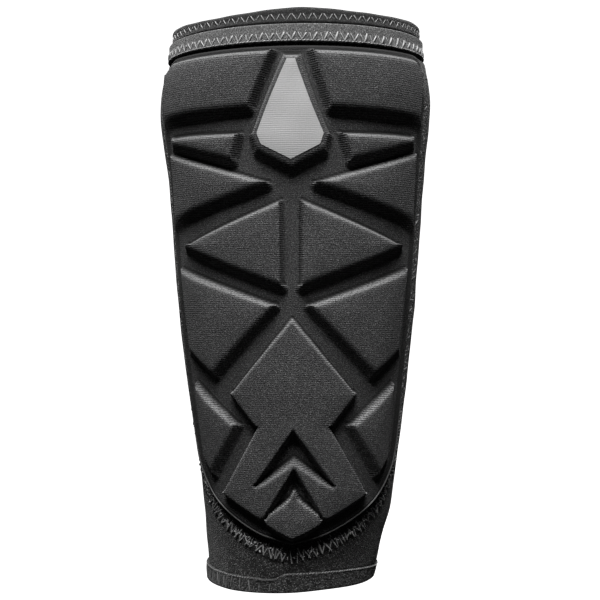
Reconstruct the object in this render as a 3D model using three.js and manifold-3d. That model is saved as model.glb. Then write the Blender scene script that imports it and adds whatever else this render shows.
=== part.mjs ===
// Forearm guard: a tapered knitted sleeve with a moulded foam pad on its front.
// Millimetres, +Z up the arm towards the elbow, the pad faces -Y,
// and the origin is on the arm's axis at half the guard's length.
//
// Every piece is made flat or round first, with three coordinates of its own:
// around or across the arm, height along it, and rise out of the sleeve's outer face.
// It is then laid on the sleeve, whose sections are ellipses that narrow towards the wrist.

import * as THREE from 'three';
import { mergeVertices } from 'three/addons/utils/BufferGeometryUtils.js';
import Module from 'manifold-3d';

const wasm = await Module();
wasm.setup();

// Sleeve, as it sits on an arm
const guardLength = 240;
const elbowWidth = 119.4;
const elbowFrontDepth = 44.3;
const elbowBackDepth = 42;
const wristWidth = 72.4;
const wristFrontDepth = 29.6;
const wristBackDepth = 29;
const sleeveWall = 2;
const seamGap = 0.3;

// Folded rims and the band at the elbow
const weltHeight = 6;
const weltThickness = 3.2;
const bandHeight = 7.2;
const bandThickness = 1.9;
const hemHeight = 8;
const hemThickness = 3;
const hemPuckerDrop = 2.5;

// Moulded pad
const padLength = 204;
const padTopGap = 1.4;
const padWrap = 0.765;
const padCornerRadius = 7;
const flangeThickness = 2.5;
const flangeRounding = 0.9;
const blockRelief = 4.6;
const blockSlope = 2.4;
const cutDepth = 4.2;
const sideFallStart = 0.62;
const sideFallTo = 0.5;

// Printed film on the centre pane
const filmThickness = 0.4;
const filmMargin = 2.2;

// Fineness of the faceted solids
const facetsAround = 42;
const tallestRow = 30;
const chordError = 0.16;

// Rows from the wrist rim to the elbow rim. height is a share of the guard's length above its middle,
// taper runs from the elbow's width to the wrist's, and lean (sideways) and skew (rim out of square)
// are shares of the wrist's width.
const SECTIONS = [
  { height: -0.500, taper: 1.000, lean: -0.033, skew: 0.018 },
  { height: -0.435, taper: 0.910, lean: -0.010, skew: 0.008 },
  { height: -0.365, taper: 0.787, lean: 0.007, skew: 0.000 },
  { height: -0.290, taper: 0.690, lean: 0.012, skew: 0.000 },
  { height: -0.145, taper: 0.480, lean: 0.005, skew: 0.000 },
  { height: 0.000, taper: 0.316, lean: 0.002, skew: 0.000 },
  { height: 0.230, taper: 0.136, lean: 0.000, skew: 0.000 },
  { height: 0.330, taper: 0.017, lean: -0.008, skew: 0.000 },
  { height: 0.370, taper: 0.004, lean: -0.005, skew: 0.000 },
  { height: 0.405, taper: 0.050, lean: 0.000, skew: 0.002 },
  { height: 0.423, taper: 0.107, lean: 0.006, skew: 0.004 },
  { height: 0.436, taper: 0.140, lean: 0.005, skew: 0.008 },
  { height: 0.445, taper: 0.238, lean: 0.000, skew: 0.010 },
  { height: 0.500, taper: 0.243, lean: 0.000, skew: 0.020 },
];

// Top edge of the hem around the wrist: turn is the share of a half turn from the front, drop a share
// of hemPuckerDrop. The fold is narrower on one side of its lap joint, where it puckers.
const HEM_EDGE = [
  { turn: -1.00, drop: 0.0 },
  { turn: -0.62, drop: 0.1 },
  { turn: -0.40, drop: 0.5 },
  { turn: -0.22, drop: 0.9 },
  { turn: -0.10, drop: 1.0 },
  { turn: -0.02, drop: 0.35 },
  { turn: 0.04, drop: 0.0 },
  { turn: 1.00, drop: 0.0 },
];

// Lower edge of the pad, from its side to its middle: across is a share of the pad's half width at that
// height, along a share of the pad's length from its top.
const PAD_FOOT = [
  { across: 1.000, along: 0.800 },
  { across: 0.985, along: 0.842 },
  { across: 0.905, along: 0.884 },
  { across: 0.760, along: 0.925 },
  { across: 0.560, along: 0.958 },
  { across: 0.300, along: 0.987 },
  { across: 0.000, along: 1.000 },
];

// Crest outlines of the raised blocks on the right half of the pad, with the same columns.
// The left half mirrors them.
const SIDE_BLOCKS = {
  corner: [
    { across: 0.125, along: 0.024 },
    { across: 0.840, along: 0.026 },
    { across: 0.915, along: 0.052 },
    { across: 0.900, along: 0.122 },
    { across: 0.255, along: 0.114 },
  ],
  wedge: [
    { across: 0.330, along: 0.172 },
    { across: 0.850, along: 0.170 },
    { across: 0.850, along: 0.184 },
    { across: 0.390, along: 0.222 },
  ],
  upperTriangle: [
    { across: 0.165, along: 0.273 },
    { across: 0.890, along: 0.214 },
    { across: 0.900, along: 0.340 },
  ],
  centreTriangle: [
    { across: 0.070, along: 0.306 },
    { across: 0.800, along: 0.392 },
    { across: 0.070, along: 0.474 },
  ],
  lowerQuad: [
    { across: 0.125, along: 0.514 },
    { across: 0.870, along: 0.440 },
    { across: 0.840, along: 0.606 },
    { across: 0.620, along: 0.652 },
  ],
  footTriangle: [
    { across: 0.455, along: 0.757 },
    { across: 0.815, along: 0.676 },
    { across: 0.815, along: 0.830 },
    { across: 0.735, along: 0.858 },
  ],
};

// Half outlines of the blocks that lie across the middle, from the top point to the bottom one.
const PANE = [
  { across: 0.000, along: 0.030 },
  { across: 0.050, along: 0.030 },
  { across: 0.245, along: 0.176 },
  { across: 0.215, along: 0.205 },
  { across: 0.000, along: 0.240 },
];
const ARROW = [
  { across: 0.000, along: 0.542 },
  { across: 0.470, along: 0.692 },
  { across: 0.275, along: 0.760 },
  { across: 0.610, along: 0.897 },
  { across: 0.290, along: 0.943 },
  { across: 0.000, along: 0.943 },
];
const DIAMOND = [
  { across: 0.000, along: 0.889 },
  { across: 0.215, along: 0.948 },
  { across: 0.000, along: 0.978 },
];

// The two arrow-shaped cuts in the arrow block, which leave a chevron between them.
const UPPER_CUT = [
  { across: 0.000, along: 0.764 },
  { across: 0.315, along: 0.877 },
  { across: 0.000, along: 0.812 },
];
const LOWER_CUT = [
  { across: 0.000, along: 0.842 },
  { across: 0.305, along: 0.965 },
  { across: 0.000, along: 0.965 },
];

// Plain helpers

function mix(from, to, share) {
  return from + (to - from) * share;
}

// Smooth curve through the rows of a table, read at one value of its first column.
function readRows(rows, key, column, at) {
  const last = rows.length - 1;
  const place = Math.min(Math.max(at, rows[0][key]), rows[last][key]);
  let i = 0;
  while (i < last - 1 && place > rows[i + 1][key]) i += 1;
  const slopeAt = (k) => {
    const before = rows[Math.max(k - 1, 0)];
    const after = rows[Math.min(k + 1, last)];
    return (after[column] - before[column]) / (after[key] - before[key]);
  };
  const low = rows[i];
  const high = rows[i + 1];
  const span = high[key] - low[key];
  const t = (place - low[key]) / span;
  const bend = t * t * (3 - 2 * t);
  const leave = t * (1 - t) * (1 - t) * span * slopeAt(i);
  const arrive = t * t * (1 - t) * span * slopeAt(i + 1);
  return mix(low[column], high[column], bend) + leave - arrive;
}

// The sleeve's outer face

function sectionAt(height) {
  const share = height / guardLength;
  const down = 0.5 - share;
  const taper = readRows(SECTIONS, 'height', 'taper', share);
  return {
    halfWidth: mix(elbowWidth, wristWidth, taper) / 2,
    front: mix(elbowFrontDepth, wristFrontDepth, down),
    back: mix(elbowBackDepth, wristBackDepth, down),
    lean: readRows(SECTIONS, 'height', 'lean', share) * wristWidth,
    skew: readRows(SECTIONS, 'height', 'skew', share),
  };
}

// A place on the arm: turn is the ellipse's angle from the front, rise is out of the sleeve's outer face.
function placeOnArm(turn, height, rise) {
  const section = sectionAt(height);
  const depth = Math.cos(turn) > 0 ? section.front : section.back;
  const x = section.halfWidth * Math.sin(turn);
  const y = -depth * Math.cos(turn);
  const outward = new THREE.Vector2(depth * Math.sin(turn), -section.halfWidth * Math.cos(turn)).normalize();
  return new THREE.Vector3(
    x + rise * outward.x + section.lean,
    y + rise * outward.y,
    height + section.skew * x,
  );
}

// Girth from the front's middle round to each of a row of even turns, up to the side.
const ARC_STEPS = 24;
function frontArc(section) {
  const lengths = [0];
  for (let i = 0; i < ARC_STEPS; i += 1) {
    const turn = ((i + 0.5) / ARC_STEPS) * (Math.PI / 2);
    const step = Math.hypot(section.halfWidth * Math.cos(turn), section.front * Math.sin(turn));
    lengths.push(lengths[i] + step * (Math.PI / 2 / ARC_STEPS));
  }
  return lengths;
}

// The turn that lies a given girth from the middle of the front.
function turnAcross(across, height) {
  const lengths = frontArc(sectionAt(height));
  const target = Math.abs(across);
  let i = 0;
  while (i < ARC_STEPS - 1 && lengths[i + 1] < target) i += 1;
  const share = (target - lengths[i]) / (lengths[i + 1] - lengths[i]);
  return Math.sign(across) * ((i + share) / ARC_STEPS) * (Math.PI / 2);
}

// Solids

function weld(geometry) {
  geometry.deleteAttribute('normal');
  geometry.deleteAttribute('uv');
  return mergeVertices(geometry, 1e-4);
}

function solidOf(geometry) {
  const welded = weld(geometry);
  return new wasm.Manifold(new wasm.Mesh({
    numProp: 3,
    vertProperties: new Float32Array(welded.attributes.position.array),
    triVerts: new Uint32Array(welded.index.array),
  }));
}

function geometryOf(solid) {
  const mesh = solid.getMesh();
  const geometry = new THREE.BufferGeometry();
  geometry.setAttribute('position', new THREE.BufferAttribute(new Float32Array(mesh.vertProperties), 3));
  geometry.setIndex(new THREE.BufferAttribute(new Uint32Array(mesh.triVerts), 1));
  return geometry;
}

function moveEachPoint(geometry, move) {
  const position = geometry.attributes.position;
  const point = new THREE.Vector3();
  for (let i = 0; i < position.count; i += 1) {
    move(point.fromBufferAttribute(position, i));
    position.setXYZ(i, point.x, point.y, point.z);
  }
  return geometry;
}

// Pieces that run right round the arm

// A ring is turned first on a circle of this radius.
const latheRadius = elbowWidth / 2;

// A closed ring from a list of (rise, height) points that go up its outer side and down its inner side.
// shift may move a point's height by where it is around the arm.
function ringRoundArm(profile, shift = () => 0) {
  const points = profile.map(([rise, height]) => new THREE.Vector2(latheRadius + rise, height));
  points.push(points[0].clone());
  const geometry = weld(new THREE.LatheGeometry(points, facetsAround));
  moveEachPoint(geometry, (point) => {
    const turn = Math.atan2(point.x, point.z);
    const rise = Math.hypot(point.x, point.z) - latheRadius;
    point.copy(placeOnArm(turn, point.y + shift(turn, point.y), rise));
  });
  geometry.computeVertexNormals();
  return geometry;
}

// Profile of a folded edge: a bar with rounded corners, and rows of points between them up each side.
function foldedProfile(innerRise, outerRise, low, high, rounding, between = []) {
  return [
    [outerRise - rounding, low],
    [outerRise, low + rounding],
    ...between.map((height) => [outerRise, height]),
    [outerRise, high - rounding],
    [outerRise - rounding, high],
    [innerRise + rounding, high],
    [innerRise, high - rounding],
    ...[...between].reverse().map((height) => [innerRise, height]),
    [innerRise, low + rounding],
    [innerRise + rounding, low],
  ];
}

const sleeveTop = guardLength / 2 - weltHeight - seamGap;
const sleeveBottom = -guardLength / 2 + hemHeight + seamGap;
const bandTop = sleeveTop;
const bandBottom = bandTop - bandHeight;
const padTop = bandBottom - padTopGap;

// How far the hem's upper edge drops at a turn round the wrist.
function hemDrop(turn) {
  return hemPuckerDrop * readRows(HEM_EDGE, 'turn', 'drop', turn / Math.PI);
}

// Heights of the sleeve's rows from its foot to the pad's top: one at each section, and more where
// sections lie far apart.
function rowHeights() {
  const between = SECTIONS.map((row) => row.height * guardLength);
  const stops = [sleeveBottom, ...between.filter((height) => height > sleeveBottom && height < padTop), padTop];
  const heights = [sleeveBottom];
  for (let i = 1; i < stops.length; i += 1) {
    const steps = Math.ceil((stops[i] - stops[i - 1]) / tallestRow);
    for (let step = 1; step <= steps; step += 1) {
      heights.push(mix(stops[i - 1], stops[i], step / steps));
    }
  }
  return heights;
}

function makeSleeve() {
  const heights = [...rowHeights(), bandBottom, (bandBottom + bandTop) / 2, sleeveTop];
  const outside = heights.map((height) => [0, height]);
  const inside = [...heights].reverse().map((height) => [-sleeveWall, height]);
  const rowHeight = heights[1] - heights[0];
  const followHem = (turn, height) => {
    const nearHem = Math.max(0, 1 - (height - sleeveBottom) / rowHeight);
    return -hemDrop(turn) * nearHem;
  };
  return ringRoundArm([...outside, ...inside], followHem);
}

function makeTopWelt() {
  const middle = -sleeveWall / 2;
  const half = weltThickness / 2;
  const top = guardLength / 2;
  return ringRoundArm(foldedProfile(middle - half, middle + half, top - weltHeight, top, weltThickness / 3));
}

function makeTopBand() {
  const outer = seamGap + bandThickness;
  const middle = (bandBottom + bandTop) / 2;
  return ringRoundArm(foldedProfile(seamGap, outer, bandBottom, bandTop, bandThickness / 4, [middle]));
}

function makeBottomHem() {
  const middle = -sleeveWall / 2;
  const half = hemThickness / 2;
  const bottom = -guardLength / 2;
  const top = bottom + hemHeight;
  const dropUpperEdge = (turn, height) => -hemDrop(turn) * THREE.MathUtils.clamp((height - bottom) / hemHeight, 0, 1);
  return ringRoundArm(foldedProfile(middle - half, middle + half, bottom, top, hemThickness / 3), dropUpperEdge);
}

// The moulded pad, made flat: x across, y up the arm, z out of the sleeve

function padHeight(along) {
  return padTop - along * padLength;
}

function padHalfWidth(height) {
  return padWrap * frontArc(sectionAt(height))[ARC_STEPS];
}

function flatPoint({ across, along }, side = 1) {
  const height = padHeight(along);
  return new THREE.Vector2(side * across * padHalfWidth(height), height);
}

function sideOutline(rows, side) {
  const points = rows.map((row) => flatPoint(row, side));
  return side > 0 ? points : points.reverse();
}

// Both halves of an outline that lies across the middle.
function middleOutline(rows) {
  const right = rows.map((row) => flatPoint(row));
  const left = rows.filter((row) => row.across > 0).reverse().map((row) => flatPoint(row, -1));
  return [...right, ...left];
}

function padOutline() {
  const sideStep = 0.1;
  const right = [];
  const cornerStart = padHalfWidth(padTop) - padCornerRadius;
  const cornerFoot = padTop - padCornerRadius;
  for (const degrees of [90, 60, 30, 0]) {
    const angle = THREE.MathUtils.degToRad(degrees);
    right.push(new THREE.Vector2(
      cornerStart + padCornerRadius * Math.cos(angle),
      cornerFoot + padCornerRadius * Math.sin(angle),
    ));
  }
  for (let along = sideStep; along < PAD_FOOT[0].along - sideStep / 2; along += sideStep) {
    right.push(flatPoint({ across: 1, along }));
  }
  const foot = new THREE.SplineCurve(PAD_FOOT.map((row) => flatPoint(row)));
  right.push(...foot.getPoints(12));
  const left = right.slice(0, -1).reverse().map((point) => new THREE.Vector2(-point.x, point.y));
  return [...right, ...left];
}

function flange() {
  const geometry = new THREE.ExtrudeGeometry(new THREE.Shape(padOutline()), {
    depth: flangeThickness - 2 * flangeRounding,
    bevelThickness: flangeRounding,
    bevelSize: flangeRounding,
    bevelOffset: -flangeRounding,
    bevelSegments: 1,
    curveSegments: 1,
  });
  geometry.translate(0, 0, flangeRounding);
  return solidOf(geometry);
}

// A raised block: its crest is the outline, and its sides slope out to the flange.
// Its root is sunk half-way into the flange, and flat underneath.
function block(outline) {
  const root = flangeThickness / 2;
  const geometry = new THREE.ExtrudeGeometry(new THREE.Shape(outline), {
    depth: flangeThickness - root,
    bevelThickness: blockRelief,
    bevelSize: blockSlope,
    bevelSegments: 2,
    curveSegments: 1,
  });
  moveEachPoint(geometry, (point) => {
    point.z = Math.max(point.z, 0) + root;
  });
  return solidOf(geometry);
}

// A steep-sided cutter that leaves a floor above the flange.
function cutter(outline) {
  const geometry = new THREE.ExtrudeGeometry(new THREE.Shape(outline), {
    depth: cutDepth + blockRelief,
    bevelEnabled: false,
    curveSegments: 1,
  });
  geometry.translate(0, 0, flangeThickness + blockRelief - cutDepth);
  return solidOf(geometry);
}

// Blocks sink towards the pad's side edges.
function sideFall(across, height) {
  const share = Math.abs(across) / padHalfWidth(height);
  return mix(1, sideFallTo, THREE.MathUtils.smoothstep(share, sideFallStart, 1));
}

// Where a point of a flat piece comes to lie on the front of the sleeve.
function layPoint(point) {
  const above = Math.max(point.z - flangeThickness, 0);
  const rise = Math.min(point.z, flangeThickness) + above * sideFall(point.x, point.y);
  return placeOnArm(turnAcross(point.x, point.y), point.y, seamGap + rise);
}

// A corner of a face, flat and as laid.
function cornerAt(flat) {
  return { flat, laid: layPoint(flat) };
}

// The middle of an edge, if the curve it should follow strays from it by more than the chord error.
function middleToCut(a, b) {
  const strays = [0.25, 0.5, 0.75].some((share) => {
    const onCurve = layPoint(a.flat.clone().lerp(b.flat, share));
    return a.laid.clone().lerp(b.laid, share).distanceTo(onCurve) > chordError;
  });
  return strays ? cornerAt(a.flat.clone().add(b.flat).multiplyScalar(0.5)) : null;
}

// Cuts a face in two at the middle of its longest edge that strays, and its parts again, until all follow.
function cutFace(a, b, c, faces) {
  const straying = [[a, b, c], [b, c, a], [c, a, b]]
    .map(([from, to, opposite]) => ({ from, to, opposite, middle: middleToCut(from, to) }))
    .filter((edge) => edge.middle);
  if (straying.length === 0) {
    faces.push([a, b, c]);
    return;
  }
  const length = (edge) => edge.from.flat.distanceTo(edge.to.flat);
  const longest = straying.reduce((long, edge) => (length(edge) > length(long) ? edge : long));
  cutFace(longest.from, longest.middle, longest.opposite, faces);
  cutFace(longest.middle, longest.to, longest.opposite, faces);
}

// Lays a flat solid on the front of the sleeve.
function layOnSleeve(geometry) {
  const loose = geometry.index ? geometry.toNonIndexed() : geometry;
  const position = loose.attributes.position;
  const corner = (i) => cornerAt(new THREE.Vector3().fromBufferAttribute(position, i));
  const faces = [];
  for (let i = 0; i < position.count; i += 3) {
    cutFace(corner(i), corner(i + 1), corner(i + 2), faces);
  }
  const laid = new THREE.BufferGeometry().setFromPoints(faces.flat().map((point) => point.laid));
  const welded = weld(laid);
  welded.computeVertexNormals();
  return welded;
}

function makePad() {
  let solid = flange();
  for (const rows of Object.values(SIDE_BLOCKS)) {
    for (const side of [-1, 1]) {
      solid = solid.add(block(sideOutline(rows, side)));
    }
  }
  solid = solid.add(block(middleOutline(PANE)));
  solid = solid.add(block(middleOutline(ARROW)));
  solid = solid.subtract(cutter(middleOutline(UPPER_CUT)));
  solid = solid.subtract(cutter(middleOutline(LOWER_CUT)));
  solid = solid.add(block(middleOutline(DIAMOND)));
  return layOnSleeve(geometryOf(solid));
}

// The film lies on the pane, inside its crest by an even margin.
function makePrintPanel() {
  const crest = middleOutline(PANE);
  const geometry = new THREE.ExtrudeGeometry(new THREE.Shape(crest), {
    depth: filmThickness / 2,
    bevelThickness: filmThickness / 2,
    bevelSize: 0.01,
    bevelOffset: -filmMargin,
    bevelSegments: 1,
    curveSegments: 1,
  });
  geometry.translate(0, 0, flangeThickness + blockRelief + seamGap + filmThickness / 2);
  return layOnSleeve(geometry);
}

// Assembly

const PIECES = [
  { name: 'sleeve', make: makeSleeve, color: 0x262626, roughness: 0.95 },
  { name: 'top_band', make: makeTopBand, color: 0x5c5c5c, roughness: 0.9 },
  { name: 'top_welt', make: makeTopWelt, color: 0x3a3a3a, roughness: 0.9 },
  { name: 'bottom_hem', make: makeBottomHem, color: 0x303030, roughness: 0.9 },
  { name: 'pad', make: makePad, color: 0x383838, roughness: 0.85 },
  { name: 'print_panel', make: makePrintPanel, color: 0xb9b9b9, roughness: 0.55 },
];

const group = new THREE.Group();
group.name = 'forearm_guard';
for (const piece of PIECES) {
  const material = new THREE.MeshStandardMaterial({
    color: piece.color,
    roughness: piece.roughness,
    metalness: 0,
  });
  const mesh = new THREE.Mesh(piece.make(), material);
  mesh.name = piece.name;
  group.add(mesh);
}

export default group;
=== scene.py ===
"""Forearm guard: a knitted sleeve with a moulded foam pad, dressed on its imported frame.

Sizes here are millimetres, as in the part's own source, and become metres where a mesh is made.
Cloth is laid out flat first: across or around the arm, height along it, and rise out of the
sleeve's outer face. Placing a point on the arm bends it round the sleeve's elliptical sections.
"""
import math

import bpy
import numpy as np
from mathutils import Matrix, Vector


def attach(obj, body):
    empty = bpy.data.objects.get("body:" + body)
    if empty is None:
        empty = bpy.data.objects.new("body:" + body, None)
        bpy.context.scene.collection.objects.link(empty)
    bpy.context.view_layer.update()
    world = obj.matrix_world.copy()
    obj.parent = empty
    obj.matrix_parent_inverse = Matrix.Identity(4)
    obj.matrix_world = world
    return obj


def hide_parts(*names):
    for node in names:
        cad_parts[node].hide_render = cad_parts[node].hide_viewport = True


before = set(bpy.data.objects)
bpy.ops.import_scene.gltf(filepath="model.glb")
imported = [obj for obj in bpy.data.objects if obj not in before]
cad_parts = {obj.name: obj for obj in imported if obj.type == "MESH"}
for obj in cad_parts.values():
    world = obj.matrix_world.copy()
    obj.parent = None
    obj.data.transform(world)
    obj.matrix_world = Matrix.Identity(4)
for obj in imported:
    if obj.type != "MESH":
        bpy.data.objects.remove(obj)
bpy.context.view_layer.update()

MM = 0.001

# Sleeve, as it sits on an arm
GUARD_LENGTH = 240
ELBOW_WIDTH = 119.4
ELBOW_FRONT = 44.3
ELBOW_BACK = 42
WRIST_WIDTH = 72.4
WRIST_FRONT = 29.6
WRIST_BACK = 29
SLEEVE_WALL = 2
SEAM_GAP = 0.3
TUCK = 1.6

# Folded rims and the band at the elbow
WELT_HEIGHT = 6
WELT_THICKNESS = 3.2
BAND_HEIGHT = 7.2
BAND_THICKNESS = 1.9
HEM_HEIGHT = 8
HEM_THICKNESS = 3
HEM_PUCKER_DROP = 2.5

# Moulded pad
PAD_LENGTH = 204
PAD_TOP_GAP = 1.4
PAD_WRAP = 0.765
PAD_CORNER_RADIUS = 7
FLANGE_THICKNESS = 2.5
BLOCK_RELIEF = 4.8
UPPER_SLOPE = 1.8
UPPER_INSET = 1.5
SIDE_SLOPE = 1.3
SIDE_INSET = 0.3
LOWER_SLOPE = 4.2
CREST_ROUNDING = 1.0
LOWER_CREST_ROUNDING = 1.6
FOOT_ROUNDING = 1.4
UPPER_FOOT_ROUNDING = 0.6
CUT_WALL = 1.5
CUT_FLOOR = 0.2
CHEVRON_SLOPE = 2.3
CHEVRON_ARM = (9, 18)
ARROW_SLOPE = 0.6
ARROW_SPREAD = 0.5
DIAMOND_SLOPE = 0.6
DIAMOND_ROUNDING = 0.7
DIAMOND_SPREAD = 0.6
SIDE_SOFTNESS = 1.6
CROWN = 0.5
CROWN_REACH = 4.5
SIDE_FALL_START = 0.62
SIDE_FALL_TO = 0.5
EDGE_ROUNDING = 1.5
FOLD_INWARD = 1.15
FOLD_RADIUS = 0.36
FOLD_START = 0.6

SLEEVE_TOP = GUARD_LENGTH / 2 - WELT_HEIGHT - SEAM_GAP
SLEEVE_FOOT = -GUARD_LENGTH / 2 + HEM_HEIGHT + SEAM_GAP
BAND_TOP = SLEEVE_TOP
BAND_FOOT = BAND_TOP - BAND_HEIGHT
PAD_TOP = BAND_FOOT - PAD_TOP_GAP

# Rims aren't quite level: turn is a share of a half turn from the front, lift is in millimetres.
ELBOW_RIM = {
    "turn": [-1.0, -0.50, -0.38, -0.22, -0.12, 0.02, 0.16, 0.27, 0.36, 0.50, 1.0],
    "lift": [0.0, 0.5, 0.1, -0.9, -0.5, 0.7, -0.4, -0.6, -0.2, 0.0, 0.0],
}
WRIST_RIM = {
    "turn": [-1.0, -0.50, -0.30, -0.22, 0.0, 0.15, 0.32, 0.50, 1.0],
    "lift": [0.0, 0.0, -0.5, -0.8, -0.55, 0.1, -0.1, 0.0, 0.0],
}

# Rows from the wrist rim to the elbow rim: height is a share of the guard's length above its middle,
# taper runs from the elbow's width to the wrist's, lean and skew are shares of the wrist's width.
SECTIONS = {
    "height": [-0.5, -0.435, -0.365, -0.29, -0.145, 0, 0.23, 0.33, 0.37, 0.405, 0.423, 0.436, 0.445, 0.5],
    "taper": [1.0, 0.910, 0.787, 0.690, 0.480, 0.316, 0.136, 0.017, 0.004, 0.050, 0.107, 0.140, 0.238, 0.243],
    "lean": [-0.033, -0.010, 0.007, 0.012, 0.005, 0.002, 0, -0.008, -0.005, 0, 0.006, 0.005, 0, 0],
    "skew": [0.018, 0.008, 0, 0, 0, 0, 0, 0, 0, 0.002, 0.004, 0.008, 0.010, 0.020],
}

# The hem's upper edge: turn is a share of a half turn from the front, drop a share of the pucker's drop.
HEM_EDGE = {
    "turn": [-1.0, -0.62, -0.40, -0.22, -0.12, -0.055, -0.022, 0.01, 0.24, 0.48, 0.75, 1.0],
    "drop": [0.0, 0.1, 0.45, 0.8, 0.95, 1.0, 0.25, 0.0, 0.05, 0.8, 0.3, 0.0],
}

# The pad's lower edge and its blocks' crests, as (across, along): across is a share of the pad's half
# width at that height, along a share of the pad's length from its top.
PAD_FOOT = [(1.0, 0.8), (0.985, 0.842), (0.905, 0.884), (0.76, 0.925), (0.56, 0.958), (0.3, 0.988),
            (0.0, 1.006)]
SIDE_BLOCKS = {
    "corner": [(0.125, 0.011), (0.860, 0.013), (0.930, 0.036), (0.905, 0.129), (0.255, 0.120)],
    "wedge": [(0.330, 0.172), (0.850, 0.170), (0.850, 0.184), (0.390, 0.222)],
    "upper triangle": [(0.165, 0.270), (0.890, 0.203), (0.900, 0.340)],
    "centre triangle": [(0.070, 0.306), (0.800, 0.392), (0.070, 0.474)],
    "lower quad": [(0.125, 0.514), (0.870, 0.440), (0.840, 0.606), (0.620, 0.652)],
    "foot triangle": [(0.455, 0.757), (0.815, 0.676), (0.815, 0.830), (0.735, 0.858)],
}
PANE = [(0.0, 0.021), (0.050, 0.021), (0.245, 0.176), (0.215, 0.205), (0.0, 0.240)]
ARROW = [(0.0, 0.542), (0.470, 0.692), (0.275, 0.760), (0.610, 0.897), (0.290, 0.943), (0.0, 0.943)]
DIAMOND = [(0.0, 0.888), (0.030, 0.902), (0.080, 0.914), (0.150, 0.926), (0.205, 0.937), (0.232, 0.949),
           (0.212, 0.956), (0.125, 0.969), (0.0, 0.983)]
UPPER_CUT = [(0.0, 0.764), (0.315, 0.877), (0.0, 0.820)]
LOWER_CUT = [(0.0, 0.842), (0.305, 0.965), (0.0, 0.965)]

# Printed film
FILM_MARGIN = 2.2
FILM_LIFT = 0.06
FILM_THICKNESS = 0.16

# Zigzags: a leg's offset and run are shares of the pitch
LEG_OFFSET = 0.22
LEG_RUN = 0.37
ZIGZAG_PITCH = 3.9

# Single stitches and the fold: sink is a share of the thread's width, slants are in radians
STITCH_SINK = -0.35
STITCH_STEPS = 6
THREAD_SIDES = 5
DASH_SLANT = 0.25
STROKE_SLANT = 1.32
FOLD_SIDES = 10
FOLD_STEP = 0.8
FOLD_PROUD = 0.4
FOLD_TAPER = 30
THREAD_TONES = {
    "pale thread": 0.24, "grey thread": 0.26, "dark thread": 0.25, "fold cloth": 0.05, "hem thread": 0.12,
    "speck thread": 0.42,
}

# The pad's knitted ribs, in millimetres
RIB_PITCHES = {"Rib Pitch": 0.86, "Loop Pitch": 0.7, "Wander": 0.5}

# Fineness of the dressed meshes
PAD_GRID = 0.62
UNDERSIDE_STEP = 6
SEAM_FOOT_TOP = -58
FINE_ROW = 0.8
PLAIN_ROW = 1.4
FAR = 99
SHARP_ANGLE = 55
ARC_STEPS = 24

# Upright loop marks on the hem: the turns they lie between, in radians, their pitch and their rise
HEM_MARKS = (-1.35, -0.12)
HEM_MARK_PITCH = 4.3
HEM_MARK_RISE = 0.85

# Camera, at the photo's angle to the guard
CAMERA_DISTANCE = 510
CAMERA_TURN = 2.2
CAMERA_HEIGHT = 2
CAMERA_SIDE_STEP = 1.8
LENS = 69


# Laying out on the arm

def mix(low, high, share):
    return low + (high - low) * share


def smooth(value, start, end):
    """0 at start, 1 at end, with a soft run between."""
    share = np.clip((value - start) / (end - start), 0, 1)
    return share * share * (3 - 2 * share)


def read_rows(rows, key, column, at):
    """Smooth curve through a table's column, read at values of its key column."""
    keys = np.array(rows[key], float)
    values = np.array(rows[column], float)
    slopes = np.empty_like(values)
    slopes[1:-1] = (values[2:] - values[:-2]) / (keys[2:] - keys[:-2])
    slopes[0] = (values[1] - values[0]) / (keys[1] - keys[0])
    slopes[-1] = (values[-1] - values[-2]) / (keys[-1] - keys[-2])
    at = np.clip(at, keys[0], keys[-1])
    i = np.clip(np.searchsorted(keys, at, side="left") - 1, 0, len(keys) - 2)
    span = keys[i + 1] - keys[i]
    t = (at - keys[i]) / span
    bend = t * t * (3 - 2 * t)
    leave = t * (1 - t) ** 2 * span * slopes[i]
    arrive = t * t * (1 - t) * span * slopes[i + 1]
    return mix(values[i], values[i + 1], bend) + leave - arrive


def half_width_at(height):
    taper = read_rows(SECTIONS, "height", "taper", height / GUARD_LENGTH)
    return mix(ELBOW_WIDTH, WRIST_WIDTH, taper) / 2


def front_depth_at(height):
    return mix(ELBOW_FRONT, WRIST_FRONT, 0.5 - height / GUARD_LENGTH)


def place_on_arm(turn, height, rise):
    """Points on the arm, from the turn round it, the height and the rise out of the sleeve's outer face."""
    turn, height, rise = np.broadcast_arrays(
        np.asarray(turn, float), np.asarray(height, float), np.asarray(rise, float))
    share = height / GUARD_LENGTH
    half = half_width_at(height)
    back = mix(ELBOW_BACK, WRIST_BACK, 0.5 - share)
    depth = np.where(np.cos(turn) > 0, front_depth_at(height), back)
    out_x = depth * np.sin(turn)
    out_y = -half * np.cos(turn)
    size = np.hypot(out_x, out_y)
    x = half * np.sin(turn)
    y = -depth * np.cos(turn) + rise * out_y / size
    lean = read_rows(SECTIONS, "height", "lean", share) * WRIST_WIDTH
    skew = read_rows(SECTIONS, "height", "skew", share)
    return np.stack([x + rise * out_x / size + lean, y, height + skew * x], axis=-1)


def front_arcs(height):
    """Girth from the front's middle to each of a row of even turns, up to the side, for each height."""
    height = np.atleast_1d(height).astype(float)
    middles = (np.arange(ARC_STEPS) + 0.5) / ARC_STEPS * math.pi / 2
    half = half_width_at(height)[:, None]
    front = front_depth_at(height)[:, None]
    steps = np.hypot(half * np.cos(middles), front * np.sin(middles)) * (math.pi / 2 / ARC_STEPS)
    return np.concatenate([np.zeros((len(height), 1)), np.cumsum(steps, axis=1)], axis=1)


def girth_at(height):
    return 4 * front_arcs(np.array([height]))[0, -1]


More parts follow.
